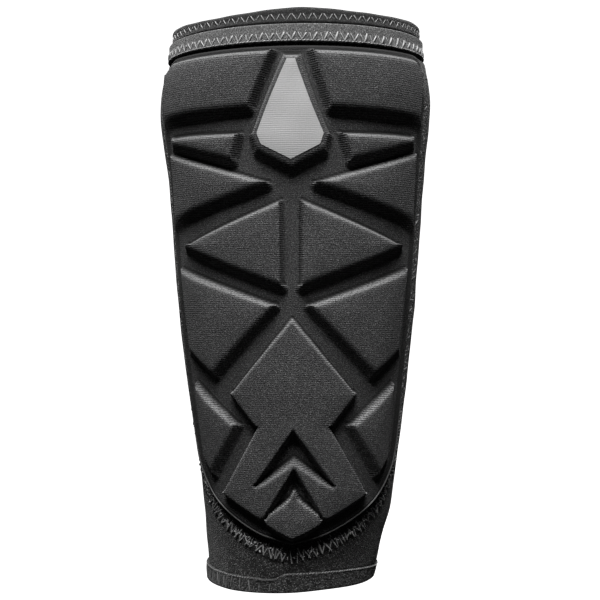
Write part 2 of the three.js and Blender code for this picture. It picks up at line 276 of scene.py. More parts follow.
def turn_across(across, height):
    """The turn that lies a given girth from the middle of the front."""
    shape = np.shape(across)
    across = np.ravel(np.broadcast_to(across, shape)).astype(float)
    arcs = front_arcs(np.ravel(np.broadcast_to(height, shape)))
    target = np.abs(across)
    i = np.clip((arcs < target[:, None]).sum(axis=1) - 1, 0, ARC_STEPS - 1)
    rows = np.arange(len(across))
    share = (target - arcs[rows, i]) / (arcs[rows, i + 1] - arcs[rows, i])
    turn = np.sign(across) * (i + share) / ARC_STEPS * math.pi / 2
    return turn.reshape(shape)


def pad_half_width(height):
    return PAD_WRAP * front_arcs(height)[:, -1].reshape(np.shape(height))


def flat_points(rows, side=1):
    """A table's shares as flat points (across, height) in millimetres."""
    shares = np.array(rows, float)
    height = PAD_TOP - shares[:, 1] * PAD_LENGTH
    return np.stack([side * shares[:, 0] * pad_half_width(height), height], axis=1)


def middle_outline(rows):
    """Both halves of an outline that lies across the middle."""
    left = [(across, along) for across, along in reversed(rows) if across > 0]
    return np.concatenate([flat_points(rows), flat_points(left, side=-1)])


def nearest_edge(points, outline):
    """Distance from each flat point to a closed outline, negative inside it, and how far the outward way
    there leads up: 1 straight up, -1 straight down."""
    nearest = np.full(len(points), np.inf)
    up = np.zeros(len(points))
    inside = np.zeros(len(points), bool)
    for start, end in zip(outline, np.roll(outline, -1, axis=0)):
        edge = end - start
        offset = points - start
        share = np.clip(offset @ edge / max(edge @ edge, 1e-9), 0, 1)
        away = offset - share[:, None] * edge
        distance = np.hypot(*away.T)
        up = np.where(distance < nearest, away[:, 1] / np.maximum(distance, 1e-9), up)
        nearest = np.minimum(nearest, distance)
        crosses = (start[1] > points[:, 1]) != (end[1] > points[:, 1])
        rise = edge[1] if abs(edge[1]) > 1e-9 else 1e-9
        inside ^= crosses & (points[:, 0] < start[0] + (points[:, 1] - start[1]) / rise * edge[0])
    return np.where(inside, -nearest, nearest), np.where(inside, -up, up)


def signed_distance(points, outline):
    return nearest_edge(points, outline)[0]


def soft_min(a, b, width):
    blend = np.clip(0.5 + 0.5 * (b - a) / width, 0, 1)
    return mix(b, a, blend) - width * blend * (1 - blend)


def soft_max(a, b, width):
    return -soft_min(-a, -b, width)


# The pad's relief

def spline_through(points, steps):
    """Smooth curve through points, as even steps between each two."""
    padded = np.concatenate([[2 * points[0] - points[1]], points, [2 * points[-1] - points[-2]]])
    curve = []
    for p0, p1, p2, p3 in zip(padded, padded[1:], padded[2:], padded[3:]):
        for t in np.arange(steps) / steps:
            curve.append(0.5 * (2 * p1 + (p2 - p0) * t + (2 * p0 - 5 * p1 + 4 * p2 - p3) * t ** 2
                                + (3 * p1 - p0 - 3 * p2 + p3) * t ** 3))
    curve.append(points[-1])
    return np.array(curve)


def pad_right_edge():
    """The right half of the pad's outline, from its top edge's corner to the middle of its foot."""
    corner_x = pad_half_width(np.array([PAD_TOP]))[0] - PAD_CORNER_RADIUS
    corner_y = PAD_TOP - PAD_CORNER_RADIUS
    angles = np.radians(np.linspace(90, 0, 13))
    corner = np.stack([corner_x + PAD_CORNER_RADIUS * np.cos(angles),
                       corner_y + PAD_CORNER_RADIUS * np.sin(angles)], axis=1)
    side = flat_points([(1, along) for along in np.arange(0.1, PAD_FOOT[0][1] - 0.05, 0.1)])
    return np.concatenate([corner, side, spline_through(flat_points(PAD_FOOT), 10)])


def even_steps(line, step):
    """The same line with points at an even spacing."""
    lengths = np.concatenate([[0], np.cumsum(np.hypot(*np.diff(line, axis=0).T))])
    places = np.linspace(0, lengths[-1], int(lengths[-1] / step) + 1)
    return np.stack([np.interp(places, lengths, line[:, k]) for k in range(line.shape[1])], axis=1)


def both_sides(right):
    """A line down the right side and up the left one, from its right half."""
    return np.concatenate([right, right[-2::-1] * (-1, 1)])


def moved_out(line, out):
    """A line that runs down the right side and up the left one, moved out from the middle."""
    ahead = np.gradient(line, axis=0)
    ahead /= np.hypot(*ahead.T)[:, None]
    return line + out * np.stack([-ahead[:, 1], ahead[:, 0]], axis=1)


def whole_pad_outline():
    return both_sides(pad_right_edge())


def block_outlines():
    outlines = [flat_points(rows, side) for rows in SIDE_BLOCKS.values() for side in (-1, 1)]
    return outlines + [middle_outline(PANE)]


def raised(distance, up, softness=1.0, scale=1.0, rounding=CREST_ROUNDING):
    """Height of a block at a distance outside its outline.

    Slopes that face up lie just inside the outline and are steep, and those that face down are long.
    """
    facing_up = np.clip(up, 0, 1)
    facing_down = np.clip(-up, 0, 1)
    run = mix(mix(SIDE_SLOPE * softness, UPPER_SLOPE, facing_up), LOWER_SLOPE * softness, facing_down)
    inset = mix(mix(SIDE_INSET, UPPER_INSET, facing_up), 0, facing_down)
    beyond = distance + inset
    slope = BLOCK_RELIEF * (1 - beyond / (run * scale))
    crown = CROWN * (1 - np.exp(np.minimum(beyond, 0) / CROWN_REACH))
    crest = mix(rounding, max(rounding, LOWER_CREST_ROUNDING * scale), facing_down)
    foot = mix(FOOT_ROUNDING, UPPER_FOOT_ROUNDING, facing_up)
    return soft_min(soft_max(slope, 0.0, foot), BLOCK_RELIEF + crown, crest)


def cut_walls(distance, up, across):
    """Height left by a cut: steep walls under the blocks above it, and a long slope up to what lies below it.

    The long slope narrows towards the ends of the chevron's arms.
    """
    faces_up = smooth(-up, 0.25, 0.8) * mix(1, 0.4, smooth(np.abs(across), *CHEVRON_ARM))
    run = mix(CUT_WALL, CHEVRON_SLOPE, faces_up)
    beyond = mix(0, CHEVRON_SLOPE, faces_up)
    wall = BLOCK_RELIEF + CROWN + (distance - beyond) * BLOCK_RELIEF / run
    return soft_max(wall, CUT_FLOOR, 0.8)


def slow_waves(across, height):
    """Gentle unevenness of hand-laid foam, from -1 to 1."""
    return (np.sin(across / 6.1 + 1.3) * np.sin(height / 8.7 + 0.4)
            + 0.6 * np.sin(across / 3.7 - height / 5.3 + 2.1)
            + 0.4 * np.sin(height / 3.1 + across / 9.9)) / 2


def pad_relief(across, height):
    """How far the pad's face stands above its flange."""
    points = np.stack([across, height], axis=1)
    share = np.abs(across) / pad_half_width(height)
    softness = mix(1, SIDE_SOFTNESS, smooth(share, 0.8, 0.97))
    relief = np.zeros(len(points))
    for outline in block_outlines():
        relief = soft_max(relief, raised(*nearest_edge(points, outline), softness), 0.4)
    distance, up = nearest_edge(points, middle_outline(ARROW))
    relief = soft_max(relief, raised(distance - ARROW_SPREAD, up, scale=ARROW_SLOPE), 0.4)
    for rows in (UPPER_CUT, LOWER_CUT):
        walls = cut_walls(*nearest_edge(points, middle_outline(rows)), across)
        relief = soft_min(relief, walls, CREST_ROUNDING)
    distance, up = nearest_edge(points, middle_outline(DIAMOND))
    diamond = raised(distance - DIAMOND_SPREAD, up, scale=DIAMOND_SLOPE, rounding=DIAMOND_ROUNDING)
    relief = soft_max(relief, diamond, 0.4)
    fall = mix(1, SIDE_FALL_TO, smooth(share, SIDE_FALL_START, 1))
    return np.maximum(relief, 0) * fall * (1 + 0.03 * slow_waves(across, height))


def pad_rise(across, height):
    """Rise of the pad's face out of the sleeve, down to its underside at the sewn edge."""
    points = np.stack([across, height], axis=1)
    inward = np.maximum(-signed_distance(points, whole_pad_outline()), 0)
    roll = np.sqrt(1 - (1 - np.minimum(inward / EDGE_ROUNDING, 1)) ** 2)
    face = FLANGE_THICKNESS + pad_relief(across, height) + 0.08 * slow_waves(across * 1.7, height)
    return SEAM_GAP + face * roll


# Meshes

def new_piece(name, points, faces, uv=None, masks=None, edges=(), corner_uv=None):
    """A mesh object from points in millimetres, with an optional UV in millimetres and vertex masks.

    The UV is given for each point, or for each corner of each face.
    """
    mesh = bpy.data.meshes.new(name)
    mesh.from_pydata((np.asarray(points) * MM).tolist(), list(edges), [list(face) for face in faces])
    mesh.validate()
    if uv is not None:
        corners = np.empty(len(mesh.loops), np.int32)
        mesh.loops.foreach_get("vertex_index", corners)
        corner_uv = np.asarray(uv)[corners]
    if corner_uv is not None:
        mesh.uv_layers.new(name="cloth").data.foreach_set("uv", (corner_uv * MM).ravel())
    for label, values in (masks or {}).items():
        values = np.asarray(values, np.float32)
        kind, field = ("FLOAT_VECTOR", "vector") if values.ndim == 2 else ("FLOAT", "value")
        mesh.attributes.new(label, kind, "POINT").data.foreach_set(field, values.ravel())
    mesh.polygons.foreach_set("use_smooth", [True] * len(mesh.polygons))
    mesh.set_sharp_from_angle(angle=math.radians(SHARP_ANGLE))
    piece = bpy.data.objects.new(name, mesh)
    bpy.context.scene.collection.objects.link(piece)
    return piece


def row_grid(edge, columns, lip):
    """Flat points for rows that run from side to side of an outline given by its right edge.

    The outer columns keep a fixed distance from the edge, so that its rounding stays even.
    """
    rim = np.array([0, 0.12, 0.3, 0.6, 1.0])
    inner = np.linspace(-1, 1, columns)
    across = []
    for half in edge[:, 0]:
        margin = min(lip, half / 2)
        right = half - margin * rim
        across.append(np.concatenate([-right[:-1], inner * (half - margin), right[:-1][::-1]]))
    across = np.array(across)
    height = np.repeat(edge[:, 1][:, None], across.shape[1], axis=1)
    return across, height


def closed_slab(name, edge, columns, lip, face_rise, under_rise, step, masks_of=None):
    """A closed piece on the front of the sleeve: a fine face and a coarser underside with a common rim.

    edge is the right half of its outline, from the top edge's corner to the middle of the foot.
    """
    across, height = row_grid(edge, columns, lip)
    rows, cols = across.shape
    keep = (rows - 1) * cols + 1
    flat_across = across.ravel()[:keep]
    flat_height = height.ravel()[:keep]
    flat_across[-1] = 0
    face = np.arange(rows * cols).reshape(rows, cols)
    face[-1, :] = keep - 1
    faces = []
    for i in range(rows - 1):
        for j in range(cols - 1):
            corners = [face[i, j], face[i + 1, j], face[i + 1, j + 1], face[i, j + 1]]
            faces.append(list(dict.fromkeys(corners)))
    row_marks = sorted({*range(0, rows - 1, step), rows - 1})
    col_marks = sorted({*range(0, cols - 1, step), cols - 1})
    under_at = {}
    for i in row_marks[1:-1]:
        for j in col_marks[1:-1]:
            under_at[i, j] = keep + len(under_at)

    def rim_or_under(i, j):
        return under_at.get((i, j), face[i, j])

    for i0, i1 in zip(row_marks, row_marks[1:]):
        for j0, j1 in zip(col_marks, col_marks[1:]):
            top = range(j0, j1) if i0 == 0 else [j0]
            right = range(i0, i1) if j1 == cols - 1 else [i0]
            left = range(i1, i0, -1) if j0 == 0 else [i1]
            loop = [rim_or_under(i0, j) for j in top]
            loop += [rim_or_under(i, j1) for i in right]
            loop += [rim_or_under(i1, j1)]
            loop += [rim_or_under(i, j0) for i in left]
            faces.append(list(dict.fromkeys(loop)))
    under = np.array(list(under_at))
    all_across = np.concatenate([flat_across, across[under[:, 0], under[:, 1]]])
    all_height = np.concatenate([flat_height, height[under[:, 0], under[:, 1]]])
    rise = np.concatenate([face_rise(flat_across, flat_height),
                           under_rise(all_across[keep:], all_height[keep:])])
    points = place_on_arm(turn_across(all_across, all_height), all_height, rise)
    masks = masks_of(all_across, all_height) if masks_of else None
    return new_piece(name, points, faces, np.stack([all_across, all_height], axis=1), masks)


def ring_piece(name, profile, shift, around):
    """A closed ring round the arm. profile lists (rise, height), up its outer side and down its inner side.

    shift gives each point's extra rise and extra height, from its turn, height and rise.
    """
    profile = np.array(profile, float)
    turns = np.linspace(-math.pi, math.pi, around, endpoint=False)
    turn = np.repeat(turns[:, None], len(profile), axis=1)
    rise = np.repeat(profile[None, :, 0], around, axis=0)
    height = np.repeat(profile[None, :, 1], around, axis=0)
    extra_rise, extra_height = shift(turn, height, rise)
    points = place_on_arm(turn, height + extra_height, rise + extra_rise).reshape(-1, 3)
    count = len(profile)
    runs = np.diff(np.vstack([profile, profile[:1]]), axis=0)
    lengths = np.cumsum(np.concatenate([[0], np.hypot(*runs.T)]))
    reach = 2 / math.pi * front_arcs(profile[:, 1])[:, -1]
    faces = []
    corner_uv = []
    for i in range(around):
        turn_here = -math.pi + i * 2 * math.pi / around
        turn_next = turn_here + 2 * math.pi / around
        for j in range(count):
            k = (j + 1) % count
            n = (i + 1) % around
            faces.append([i * count + j, n * count + j, n * count + k, i * count + k])
            corner_uv += [(turn_here * reach[j], lengths[j]), (turn_next * reach[j], lengths[j]),
                          (turn_next * reach[k], lengths[j + 1]), (turn_here * reach[k], lengths[j + 1])]
    return new_piece(name, points, faces, corner_uv=np.array(corner_uv))


def folded_profile(inner, outer, low, high, rounding, steps=6, rows=8):
    """Profile of a folded edge: a bar with rounded corners."""
    corners = [(outer - rounding, low + rounding, -90), (outer - rounding, high - rounding, 0),
               (inner + rounding, high - rounding, 90), (inner + rounding, low + rounding, 180)]
    profile = []
    for index, (rise, height, start) in enumerate(corners):
        for angle in np.radians(start + np.linspace(0, 90, steps)):
            profile.append((rise + rounding * math.cos(angle), height + rounding * math.sin(angle)))
        if index in (0, 2):
            from_height = profile[-1][1]
            to_height = corners[index + 1][1]
            for share in np.arange(1, rows) / rows:
                profile.append((profile[-1][0], mix(from_height, to_height, share)))
    return profile


# Nodes

def node(tree, kind, given=None, **settings):
    """A new node. given holds its inputs' values or the sockets they link to, settings its properties."""
    made = tree.nodes.new(kind)
    for name, value in settings.items():
        setattr(made, name, value)
    for name, value in (given or {}).items():
        if isinstance(value, bpy.types.NodeSocket):
            tree.links.new(value, made.inputs[name])
        else:
            made.inputs[name].default_value = value
    return made


def new_tree(tree_type, name, inputs, outputs):
    """A node group with named sockets, what its inputs give, and its result's sockets.

    A socket is given by its type, or by the number that a float socket starts with.
    """
    tree = bpy.data.node_groups.new(name, tree_type)
    for in_out, sockets in (("INPUT", inputs), ("OUTPUT", outputs)):
        for label, kind in sockets.items():
            socket_type = "NodeSocket" + (kind if isinstance(kind, str) else "Float")
            socket = tree.interface.new_socket(label, in_out=in_out, socket_type=socket_type)
            if not isinstance(kind, str):
                socket.default_value = kind
    return tree, node(tree, "NodeGroupInput").outputs, node(tree, "NodeGroupOutput").inputs


def maths(tree, operation, *values, clamp=False):
    """The result of a sum on numbers or sockets."""
    made = node(tree, "ShaderNodeMath", dict(enumerate(values)), operation=operation, use_clamp=clamp)
    return made.outputs[0]


# Thread and folds, grown on points by Geometry Nodes

def point_value(tree, name, kind="FLOAT"):
    return node(tree, "GeometryNodeInputNamedAttribute", {"Name": name}, data_type=kind).outputs["Attribute"]


def round_tube(tree, path, radius, sides, scale=1.0):
    ring = node(tree, "GeometryNodeCurvePrimitiveCircle", {"Resolution": sides, "Radius": radius})
    tube = node(tree, "GeometryNodeCurveToMesh", {
        "Curve": path, "Profile Curve": ring.outputs["Curve"], "Scale": scale, "Fill Caps": True})
    return tube.outputs["Mesh"]


def finish_tree(tree, geometry, material, result):
    """Makes instances real, gives them their material and sends them out."""
    real = node(tree, "GeometryNodeRealizeInstances", {"Geometry": geometry})
    dyed = node(tree, "GeometryNodeSetMaterial", {"Geometry": real.outputs["Geometry"], "Material": material})
    tree.links.new(dyed.outputs["Geometry"], result)
    tree.is_modifier = True
    return tree


def stitch_tree():
    """A tree that sets one arched stitch of thread on each point, turned by the point's slant."""
    tree, given, result = new_tree(
        "GeometryNodeTree", "stitch row",
        {"Points": "Geometry", "Stitch Length": "Float", "Thread Width": "Float", "Arch": "Float",
         "Unevenness": "Float", "Seed": "Int", "Thread": "Material"},
        {"Stitches": "Geometry"})

    def end_at(share):
        """One end of the stitch, sunk a little into the cloth."""
        return node(tree, "ShaderNodeCombineXYZ", {
            "X": maths(tree, "MULTIPLY", given["Stitch Length"], share),
            "Z": maths(tree, "MULTIPLY", given["Thread Width"], STITCH_SINK)}).outputs[0]

    top = node(tree, "ShaderNodeCombineXYZ", {"Z": given["Arch"]})
    bow = node(tree, "GeometryNodeCurveQuadraticBezier", {
        "Resolution": STITCH_STEPS, "Start": end_at(-0.5), "Middle": top.outputs[0], "End": end_at(0.5)})
    radius = maths(tree, "MULTIPLY", given["Thread Width"], 0.5)
    stitch = round_tube(tree, bow.outputs["Curve"], radius, THREAD_SIDES)

    stand = node(tree, "FunctionNodeAxesToRotation", {
        "Primary Axis": point_value(tree, "outward", "FLOAT_VECTOR"),
        "Secondary Axis": point_value(tree, "along", "FLOAT_VECTOR")}, primary_axis="Z", secondary_axis="X")
    lowest, highest = 2, 3
    wobble = node(tree, "FunctionNodeRandomValue", {
        lowest: -1, highest: 1, "Seed": given["Seed"]}, data_type="FLOAT").outputs[1]
    slant = maths(tree, "MULTIPLY_ADD", wobble, given["Unevenness"], point_value(tree, "slant"))
    swing = node(tree, "FunctionNodeAxisAngleToRotation", {"Angle": slant})
    turned = node(tree, "FunctionNodeRotateRotation", {
        "Rotation": stand.outputs[0], "Rotate By": swing.outputs[0]}, rotation_space="LOCAL")
    width = point_value(tree, "width")
    stout = node(tree, "ShaderNodeCombineXYZ", {"X": 1, "Y": width, "Z": width})
    size = maths(tree, "MULTIPLY_ADD", wobble, given["Unevenness"], 1)
    sized = node(tree, "ShaderNodeVectorMath", {0: stout.outputs[0], "Scale": size}, operation="SCALE")
    spread = node(tree, "GeometryNodeInstanceOnPoints", {
        "Points": given["Points"], "Instance": stitch,
        "Rotation": turned.outputs[0], "Scale": sized.outputs[0]})
    return finish_tree(tree, spread.outputs["Instances"], given["Thread"], result["Stitches"])


def fold_tree():
    """A tree that sweeps a round fold of cloth along a line, thinned by the line's thickness."""
    tree, given, result = new_tree(
        "GeometryNodeTree", "edge fold", {"Line": "Geometry", "Fold Radius": "Float", "Cloth": "Material"},
        {"Fold": "Geometry"})
    thickness = point_value(tree, "thickness")
    path = node(tree, "GeometryNodeMeshToCurve", {"Mesh": given["Line"]})
    thinned = node(tree, "GeometryNodeSetCurveRadius", {"Curve": path.outputs["Curve"], "Radius": thickness})
    fold = round_tube(tree, thinned.outputs["Curve"], given["Fold Radius"], FOLD_SIDES, thickness)
    return finish_tree(tree, fold, given["Cloth"], result["Fold"])


def grown(carrier, tree, given):
    """What a tree makes of a piece's points, as the piece's own plain mesh."""
    modifier = carrier.modifiers.new("nodes", "NODES")
    modifier.node_group = tree
    sockets = {item.name: item.identifier for item in tree.interface.items_tree}
    for label, value in given.items():
        modifier[sockets[label]] = value
    carrier.update_tag()
    shown = carrier.evaluated_get(bpy.context.evaluated_depsgraph_get())
    mesh = bpy.data.meshes.new_from_object(shown)
    carrier.modifiers.clear()
    carrier.data = mesh
    mesh.polygons.foreach_set("use_smooth", [True] * len(mesh.polygons))
    return carrier


def stitch_row(name, tree, turn, height, rise, slant, width, thread, seed, length, thick, arch, uneven):
    """Stitches at a row of places on the arm.

    slant is each one's turn from the row, and width scales its thread.
    """
    def unit(vectors):
        return vectors / np.linalg.norm(vectors, axis=1, keepdims=True)

    line = place_on_arm(turn, height, rise)
    outward = place_on_arm(turn, height, 1.0) - place_on_arm(turn, height, 0.0)
    carrier = new_piece(name, line, [], masks={
        "along": unit(np.gradient(line, axis=0)), "outward": unit(outward), "slant": slant, "width": width})
    return grown(carrier, tree, {
        "Stitch Length": length * MM, "Thread Width": thick * MM, "Arch": arch * MM, "Unevenness": uneven,
        "Seed": seed, "Thread": thread})


def paired_legs(name, tree, height, rise, tall, lean_in, widths, thread, seed, **sizes):
    """Pairs of slanted stitches right round the arm, that meet at the top (lean_in 1) or the bottom (-1)."""
    pairs = round(girth_at(height) / ZIGZAG_PITCH)
    heights = np.full(2 * pairs, float(height))
    place = np.repeat(np.arange(pairs), 2) + np.tile([-LEG_OFFSET, LEG_OFFSET], pairs)
    turns = -math.pi + (place + 0.5) * 2 * math.pi / pairs
    run = LEG_RUN * ZIGZAG_PITCH
    slant = lean_in * math.atan2(tall, run) * np.tile([1, -1], pairs)
    return stitch_row(name, tree, turns, heights, rise, slant, np.tile(widths, pairs), thread, seed,
                      length=math.hypot(run, tall), **sizes)


def edge_dashes(name, tree, height, rise, pitch, thread, seed, drop=None, **sizes):
    """A row of short stitches right round the arm, end to end along an edge that may drop with the turn."""
    count = round(girth_at(height) / pitch)
    turns = -math.pi + np.arange(count) * 2 * math.pi / count
    heights = height - (drop(turns) if drop else np.zeros(count))
    return stitch_row(name, tree, turns, heights, rise, np.full(count, DASH_SLANT), np.ones(count),
                      thread, seed, **sizes)


def side_marks(name, tree, thread, seed, **sizes):
    """Upright marks of the hem's binding loops, on the half of the hem that puckers."""
    reach = girth_at(SLEEVE_FOOT) / (2 * math.pi)
    turns = np.arange(*HEM_MARKS, HEM_MARK_PITCH / reach)
    heights = SLEEVE_FOOT - HEM_HEIGHT * 0.55 - hem_drop(turns) * 0.5
    random = np.random.default_rng(seed)
    slant = math.pi / 2 + random.normal(0, 0.12, len(turns))
    return stitch_row(name, tree, turns, heights, HEM_MARK_RISE, slant, random.uniform(0.7, 1.2, len(turns)),
                      thread, seed, **sizes)


def flatlock(name, tree, out, pitch, thread, seed, scatter, lean, **sizes):
    """Rough slanting strokes of thread over the pad's seam, down one side, round the foot and up."""
    right = pad_right_edge()
    line = even_steps(both_sides(right[right[:, 1] < PAD_TOP - PAD_CORNER_RADIUS]), pitch)
    random = np.random.default_rng(seed)
    line = moved_out(line, out + random.normal(0, scatter, len(line))[:, None])
    sides = np.where(np.arange(len(line)) % 2, 1, -1)
    slant = sides * random.normal(STROKE_SLANT, lean, len(line)) + random.normal(0, 0.1, len(line))
    rise = mix(0.15, 0.45, smooth(line[:, 1], SEAM_FOOT_TOP + 18, SEAM_FOOT_TOP))
    return stitch_row(name, tree, turn_across(line[:, 0], line[:, 1]), line[:, 1], rise, slant,
                      random.uniform(0.6, 1.35, len(line)), thread, seed, **sizes)


def make_edge_fold(cloth):
    """The fold that stands up along the pad's sewn edge, from low on one side round the foot to the other."""
    right = pad_right_edge()
    whole = even_steps(both_sides(right[right[:, 1] < PAD_TOP - PAD_LENGTH * FOLD_START]), FOLD_STEP)
    line = moved_out(whole, -FOLD_INWARD)
    rise = pad_rise(line[:, 0], line[:, 1]) + FOLD_RADIUS * FOLD_PROUD
    points = place_on_arm(turn_across(line[:, 0], line[:, 1]), line[:, 1], rise)
    from_end = np.minimum(np.arange(len(points)), np.arange(len(points))[::-1])
    carrier = new_piece("pad_edge_fold", points, [], edges=[(i, i + 1) for i in range(len(points) - 1)],
                        masks={"thickness": np.clip(from_end / FOLD_TAPER, 0.05, 1)})
    return grown(carrier, fold_tree(), {"Fold Radius": FOLD_RADIUS * MM, "Cloth": cloth})


# Pieces

def hem_drop(turn):
    """How far the hem's upper edge drops at a turn round the wrist."""
    return HEM_PUCKER_DROP * read_rows(HEM_EDGE, "turn", "drop", turn / math.pi)


def outside_pad(turn, height):
    """Distance outside the pad's outline on the front, and a large one behind."""
    front = front_arcs(height.ravel())
    places = np.abs(turn.ravel()) / (math.pi / 2) * ARC_STEPS
    i = np.clip(places.astype(int), 0, ARC_STEPS - 1)
    rows = np.arange(len(i))
    girth = front[rows, i] + (front[rows, i + 1] - front[rows, i]) * (places - i)
    across = np.sign(turn.ravel()) * girth
    distance = signed_distance(np.stack([across, height.ravel()], axis=1), whole_pad_outline())
    return np.where(places > ARC_STEPS, FAR, distance).reshape(turn.shape)


def sleeve_shape(turn, height, rise):
    """The dip and the raised seam round the pad, soft creases away from it, and the pull of the hem."""
    gap = outside_pad(turn, height)
    dip = -0.5 * np.exp(-((gap - 0.5) / 1.0) ** 2)
    seam = smooth(gap, 1.3, 2.4) * smooth(gap, 7.2, 6.0) * smooth(height, SLEEVE_TOP - 12, SLEEVE_TOP - 20)
    puckers = np.sin(turn * 61 + height * 0.9) * np.sin(turn * 23 - height * 1.7)
    trench = -0.3 * np.exp(-((gap - 7.8) / 1.1) ** 2)
    free = smooth(gap, 8, 20)
    crease = (np.sin(height / 5.3 + 2.2 * np.sin(turn * 2 + 0.6)) * np.sin(turn * 3 + height / 31)
              + 0.5 * np.sin(height / 2.9 + turn * 5))
    near_hem = np.exp(-np.maximum(height - SLEEVE_FOOT, 0) / 7)
    pull = near_hem * hem_drop(turn) * 0.3 * np.cos((turn + 0.32) * 26)
    outside = dip + trench + seam * (0.45 + 0.22 * puckers) + 0.2 * crease * free + 0.3 * pull
    tuck = np.where((height < SLEEVE_FOOT) | (height > SLEEVE_TOP), -0.3, 0)
    extra_rise = np.where(rise < 0, 0, np.where(gap < 0, -0.1, outside) + tuck)
    reach = np.clip(1 - (height - SLEEVE_FOOT) / 14, 0, 1)
    return extra_rise, -hem_drop(turn) * reach


def make_sleeve():
    foot = SLEEVE_FOOT - TUCK
    top = SLEEVE_TOP + TUCK
    heights = np.concatenate([
        np.arange(foot, SEAM_FOOT_TOP, FINE_ROW), np.arange(SEAM_FOOT_TOP, top, PLAIN_ROW), [top]])
    outer = [(0.0, height) for height in heights]
    inner = [(-SLEEVE_WALL, height) for height in np.linspace(top, foot, 30)]
    return ring_piece("sleeve_knit_tube", outer + inner, sleeve_shape, 360)


def make_band():
    outer = SEAM_GAP + BAND_THICKNESS
    scallop_pitch = math.radians(4)

    def scallops(turn, height, rise):
        low = smooth(height, BAND_FOOT + 1.4, BAND_FOOT)
        wave = np.cos(turn / scallop_pitch * 2 * math.pi)
        return 0.12 * low + 0.08 * wave * low, 0.14 * wave * low

    profile = folded_profile(SEAM_GAP, outer, BAND_FOOT, BAND_TOP, 0.5)
    return ring_piece("elbow_band_elastic", profile, scallops, 720)


def make_welt():
    middle = -SLEEVE_WALL / 2
    top = GUARD_LENGTH / 2
    profile = folded_profile(middle - WELT_THICKNESS / 2, middle + WELT_THICKNESS / 2,
                             top - WELT_HEIGHT, top, 1.1)

    def sewn(turn, height, rise):
        pinch = np.exp(-((height - (top - WELT_HEIGHT * 0.52)) / 1.1) ** 2)
        up = np.clip((height - top + WELT_HEIGHT) / WELT_HEIGHT, 0, 1)
        lift = read_rows(ELBOW_RIM, "turn", "lift", turn / math.pi) * up
        return np.where(rise > middle, -0.22, 0.15) * pinch, lift + 0.05 * np.sin(turn * 23)

    return ring_piece("elbow_rim_welt", profile, sewn, 360)


def make_hem():
    middle = -SLEEVE_WALL / 2
    bottom = -GUARD_LENGTH / 2
    profile = folded_profile(middle - HEM_THICKNESS / 2, middle + HEM_THICKNESS / 2 + 0.3,
                             bottom, bottom + HEM_HEIGHT, 0.9, rows=14)

    def puckered(turn, height, rise):
        up = np.clip((height - bottom) / HEM_HEIGHT, 0, 1)
        left = smooth(turn, 0.1, -0.3)
        waves = mix(0.1, 0.24, left) * np.cos(turn * 49) + 0.09 * np.cos(turn * 83 + 1)
        bound = np.sin(up * math.pi) * waves
        lap = 0.9 * np.exp(-((turn + 0.28) / 0.15) ** 2) * up ** 2
        lip = 0.25 * smooth(up, 0.8, 1)
        outer = np.where(rise > middle, 1, 0)
        lift = read_rows(WRIST_RIM, "turn", "lift", turn / math.pi) * (1 - up)
        return outer * (bound + lap + lip), lift - hem_drop(turn) * up

    return ring_piece("wrist_hem", profile, puckered, 480)


def pad_masks(across, height):
    """slope: where the cloth is stretched over a slope. The second mask is a painted highlight: crests and
    slopes that face up, paler. The third mask is painted shade: the rim, walls that face sideways, the foot
    of each lit slope, the floors and, as a painted shadow of the band, the strip under it, darker.
    """
    step = 0.5
    crest_reach = 1.6
    foot_reach = 1.4
    rim_fade = 0.9
    points = np.stack([across, height], axis=1)
    here = pad_relief(across, height)
    upward = (pad_relief(across, height + step) - here) / step
    sideward = (pad_relief(across + step, height) - here) / step
    past_crest = (here - pad_relief(across, height + crest_reach)) / crest_reach
    under_slope = pad_relief(across, height - foot_reach) - here
    inward = -signed_distance(points, whole_pad_outline())
    rim_width = mix(2.4, 5.4, smooth(np.abs(across) / pad_half_width(height), 0.75, 0.95))
    # The strip just under the band, where a painted shadow of the band falls.
    under_band = smooth(height, PAD_TOP - 5.5, PAD_TOP - 3)
    in_chevron = smooth(signed_distance(points, middle_outline(UPPER_CUT)), 4, 1)
    # Painted highlight: paler on crests and on slopes that face up, less so in the chevron.
    worn = 0.5 * np.clip(past_crest, 0, 1.4) + 0.3 * np.clip(-upward, 0, 1.6)
    # Painted shade, darker: the rim, walls that face sideways, the foot of each lit slope and the floors,
    # wider at the sides.
    rim = smooth(inward, rim_width, rim_width - rim_fade)
    wall = 0.75 * smooth(np.abs(sideward) - 1.5 * np.abs(upward), 0.5, 1.8)
    lit_foot = 0.9 * smooth(under_slope, 0.3, 1.3) * smooth(here, 1.4, 0.4)
    floor = smooth(here, 2.2, 0.4) * mix(0.16, 0.45, under_band)
    return {"slope": np.clip(np.hypot(upward, sideward), 0, 1.5),
            "worn": worn * mix(1, 0.45, in_chevron) * mix(0.4, 1, smooth(here, 1.0, 4.0)),
            "deep": np.clip(rim + wall + lit_foot + floor, 0, 0.96)}


def make_pad():
    edge = even_steps(pad_right_edge(), PAD_GRID)
    columns = int(2 * edge[:, 0].max() / PAD_GRID)
    return closed_slab("moulded_pad", edge, columns, 1.6, pad_rise,
                       lambda across, height: np.full(len(across), SEAM_GAP), UNDERSIDE_STEP, pad_masks)


def inset(outline, margin):
    """A convex outline drawn in by an even margin."""
    lines = []
    for start, end in zip(outline, np.roll(outline, -1, axis=0)):
        ahead = (end - start) / np.hypot(*(end - start))
        lines.append((start + margin * np.array([ahead[1], -ahead[0]]), ahead))
    points = []
    for (a, da), (b, db) in zip([lines[-1]] + lines[:-1], lines):
        t = np.linalg.solve(np.stack([da, -db], axis=1), b - a)[0]
        points.append(a + t * da)
    return np.array(points)


def film_right_edge():
    """Right half of the film: the pane's crest drawn in by a margin, from the top to the foot."""
    crest = middle_outline(PANE[1:])
    drawn = inset(crest, FILM_MARGIN)
    right = drawn[:len(PANE) - 1]
    return even_steps(right, 0.8)


